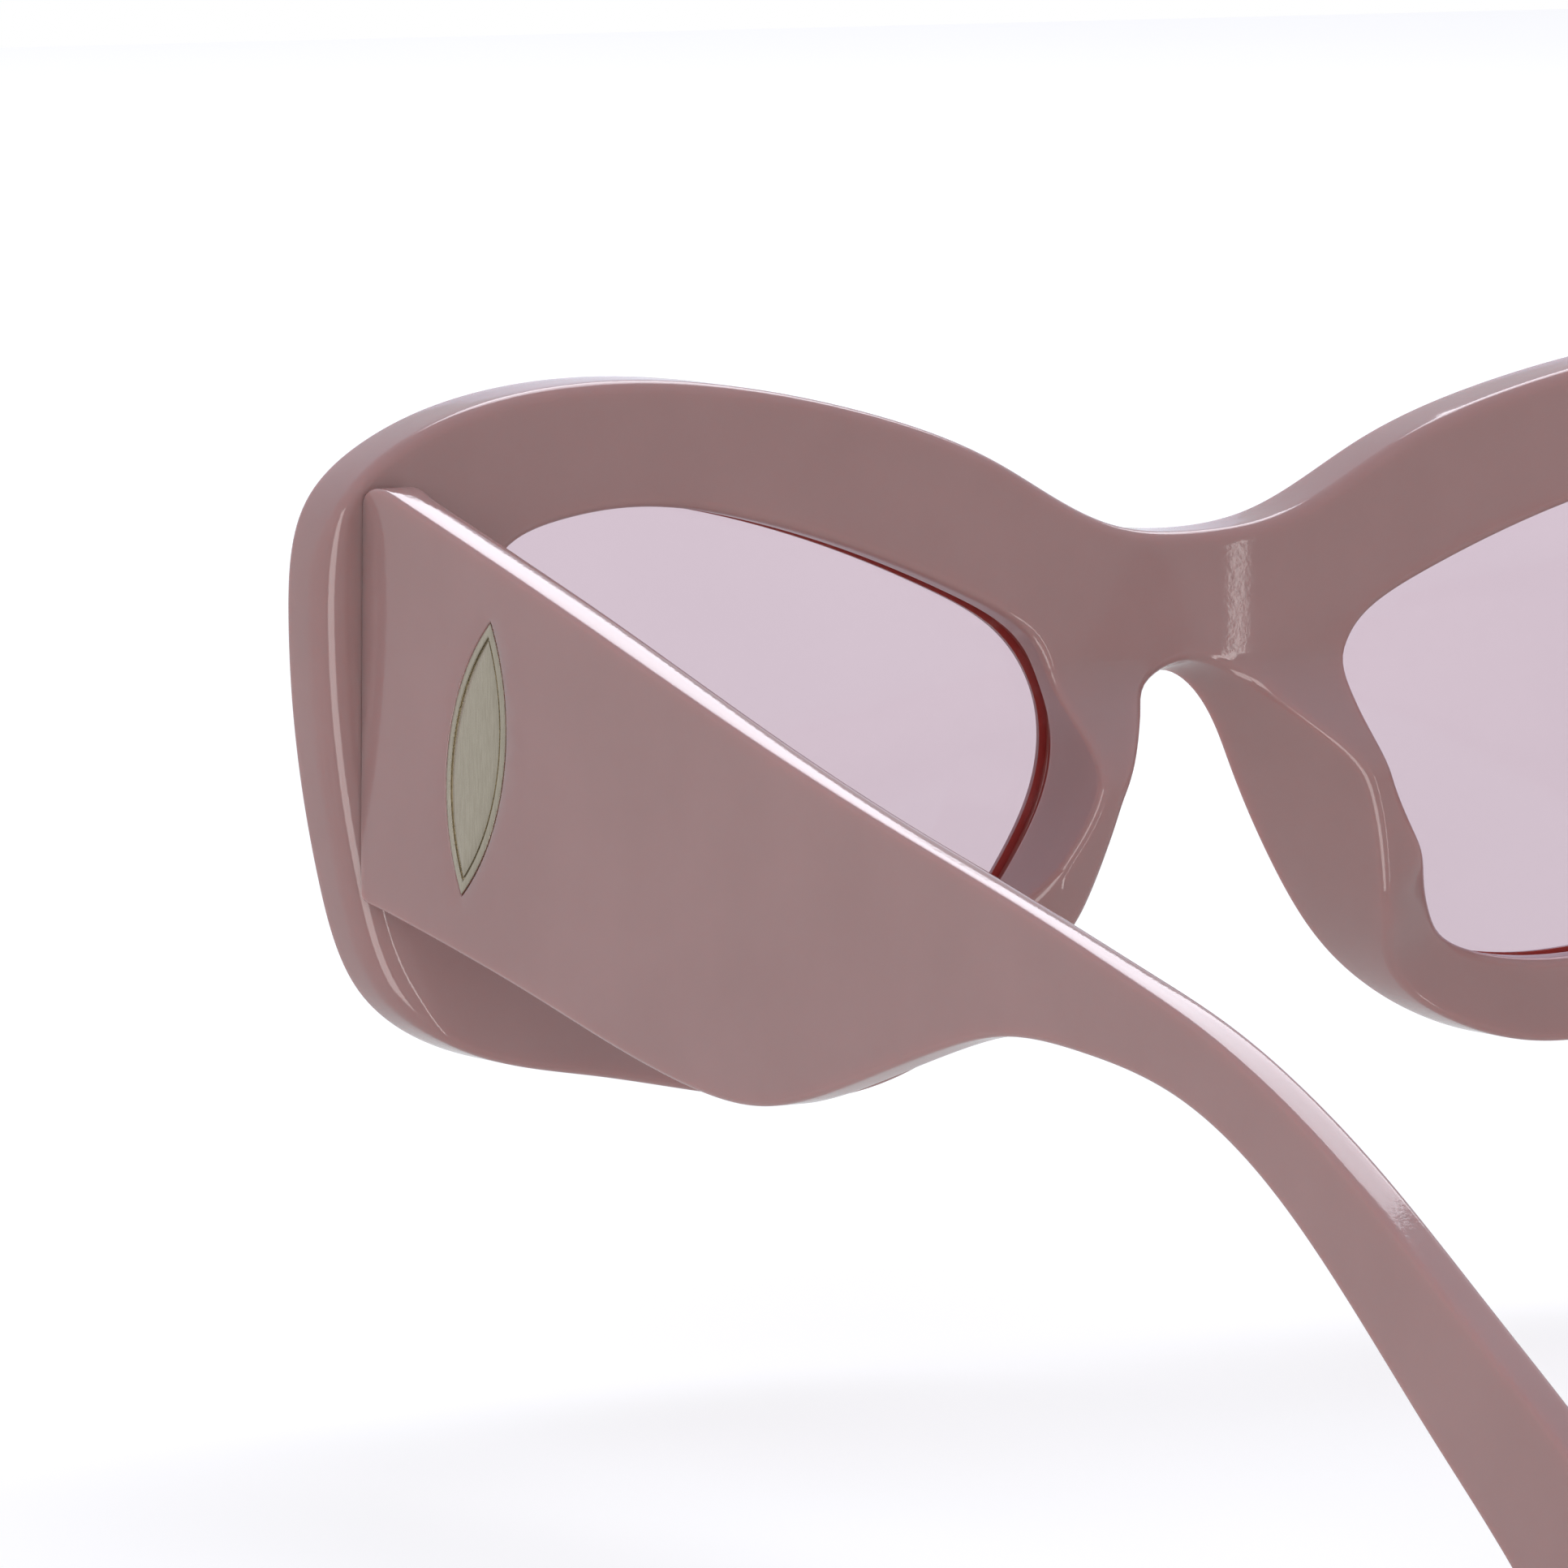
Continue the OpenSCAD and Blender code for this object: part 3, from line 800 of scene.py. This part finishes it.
build_front(ACETATE, GROOVE_GLOW_AND_SHADE)
build_lenses(LENS, LENS_EDGE_GROOVE_GLOW)
build_temples(ACETATE)
build_inlays(INLAY_METAL)
for side in ("left", "right"):
    finish_cad_node(f"{side}_front_hinge", STEEL, 0.12)
    finish_cad_node(f"{side}_temple_hinge", STEEL, 0.12)
    finish_cad_node(f"{side}_hinge_screw", SCREW, 0.08)
    finish_cad_node(f"{side}_front_fixings", SCREW, 0.05)
    finish_cad_node(f"{side}_temple_fixings", SCREW, 0.05)
    finish_cad_node(f"{side}_core_wire", CORE)


# ---------------------------------------------------------------- stage, light and camera
def floor_plane(material):
    """A plain floor just under the lowest point, the temple tips."""
    level = cad_bounds[0][2] / MM - 0.2
    half = 1500.0                        # half the floor's width
    corners = [(x * half, y * half, level) for x, y in ((-1, -1), (1, -1), (1, 1), (-1, 1))]
    floor = mesh_object("studio_floor", corners, [[0, 1, 2, 3]], [0], [material])
    # Gloss sees past the floor, so that the light strips show in the whole height of an edge.
    floor.visible_glossy = False


def seen_or_not(tree, seen, otherwise):
    """A value for what the camera sees directly and another for every other ray."""
    path = tree.nodes.new("ShaderNodeLightPath")
    return remap(tree, path.outputs["Is Camera Ray"], otherwise, seen)


def floor_material():
    """Plain and pale, and bright enough to stay pale in the object's shade."""
    material, tree, shader = node_material("pale_floor")
    clouds = noise(tree, 6, 2, 0.5)
    grey = tint(tree, clouds, (0.46, 0.46, 0.46), (0.47, 0.47, 0.47))
    tree.links.new(grey, shader.inputs["Base Color"])
    shader.inputs["Roughness"].default_value = 0.9
    shader.inputs["Specular IOR Level"].default_value = 0.05
    shader.inputs["Emission Color"].default_value = (1, 1, 1, 1)
    tree.links.new(seen_or_not(tree, 0.58, 0.30), shader.inputs["Emission Strength"])
    return material


LIGHT_AIM = Vector((0, 0.03, 0))     # in metres, as are the lights' places and sizes


def soft_light(name, place, width, height, radiance, colour):
    """A rectangle of light of the given radiance, aimed at the front."""
    data = bpy.data.lights.new(name, "AREA")
    data.shape = "RECTANGLE"
    data.size, data.size_y = width, height
    data.energy = radiance * math.pi * width * height
    data.color = colour
    light = bpy.data.objects.new(name, data)
    light.location = place
    light.rotation_euler = (LIGHT_AIM - Vector(place)).to_track_quat("-Z", "Y").to_euler()
    bpy.context.scene.collection.objects.link(light)


def studio_world():
    """White to the camera; as light, stronger and cooler from above, weaker from the rear."""
    world = bpy.data.worlds.new("studio")
    bpy.context.scene.world = world
    world.use_nodes = True
    tree = world.node_tree
    background = tree.nodes["Background"]
    coord = tree.nodes.new("ShaderNodeTexCoord")
    split = tree.nodes.new("ShaderNodeSeparateXYZ")
    tree.links.new(coord.outputs["Generated"], split.inputs["Vector"])
    ramp = tree.nodes.new("ShaderNodeValToRGB")
    below, level, above = (0.64, 0.64, 0.65), (0.78, 0.78, 0.80), (0.80, 0.82, 0.94)
    stops = (0.0, below), (0.5, level), (1.0, above)
    ramp.color_ramp.elements.new(0.5)
    for element, (position, colour) in zip(ramp.color_ramp.elements, stops):
        element.position = position
        element.color = (*colour, 1)
    tree.links.new(remap(tree, split.outputs["Z"], 0.0, 1.0, lowest=-1.0), ramp.inputs["Fac"])
    dim = tree.nodes.new("ShaderNodeVectorMath")
    dim.operation = "SCALE"
    tree.links.new(ramp.outputs["Color"], dim.inputs[0])
    tree.links.new(remap(tree, split.outputs["Y"], 1.0, 0.66, lowest=-1.0), dim.inputs["Scale"])
    # A Mix node's colours go in at 6 and 7 and come out at 2.
    white = tree.nodes.new("ShaderNodeMix")
    white.data_type = "RGBA"
    white.inputs[7].default_value = (1.0, 1.0, 1.0, 1.0)
    tree.links.new(seen_or_not(tree, 1.0, 0.0), white.inputs[0])
    tree.links.new(dim.outputs["Vector"], white.inputs[6])
    tree.links.new(white.outputs[2], background.inputs["Color"])


def photo_camera():
    """The view from behind the wearer's left shoulder, through a long lens."""
    yaw, elevation, roll = math.radians(33), math.radians(6.18), math.radians(0.43)
    distance = 0.8767                        # from the frame's origin, in metres
    aim_right, aim_up = -0.02797, -0.01458   # middle of the view, from the frame's origin
    level = math.cos(elevation)
    back = Vector((math.sin(yaw) * level, math.cos(yaw) * level, math.sin(elevation)))
    right = Vector((-math.cos(yaw), math.sin(yaw), 0))
    up = back.cross(right)
    turned_right = math.cos(roll) * right + math.sin(roll) * up
    turned_up = -math.sin(roll) * right + math.cos(roll) * up
    data = bpy.data.cameras.new("photo_camera")
    data.sensor_width = 36
    data.lens = 298.1
    data.clip_end = 20
    camera = bpy.data.objects.new("photo_camera", data)
    place = turned_right * aim_right + turned_up * aim_up + back * distance
    turn = Matrix((turned_right, turned_up, back)).transposed()
    camera.matrix_world = Matrix.Translation(place) @ turn.to_4x4()
    bpy.context.scene.collection.objects.link(camera)
    bpy.context.scene.camera = camera


floor_plane(floor_material())
studio_world()
soft_light("key_softbox", (-0.81, -0.78, 1.13), 1.0, 0.85, 3.8, (0.93, 0.93, 1.0))
soft_light("cool_panel", (-0.8, -1.25, 0.22), 2.6, 0.5, 0.25, (0.62, 0.62, 1.0))
soft_light("left_strip", (0.98, 1.13, -0.4), 0.62, 3.2, 4.2, (1.0, 0.95, 0.93))
soft_light("rear_strip", (-0.44, 1.44, -0.7), 0.12, 1.4, 5.5, (1.0, 0.96, 0.94))
photo_camera()
bpy.context.scene.view_settings.view_transform = "Standard"
bpy.context.scene.cycles.use_denoising = True
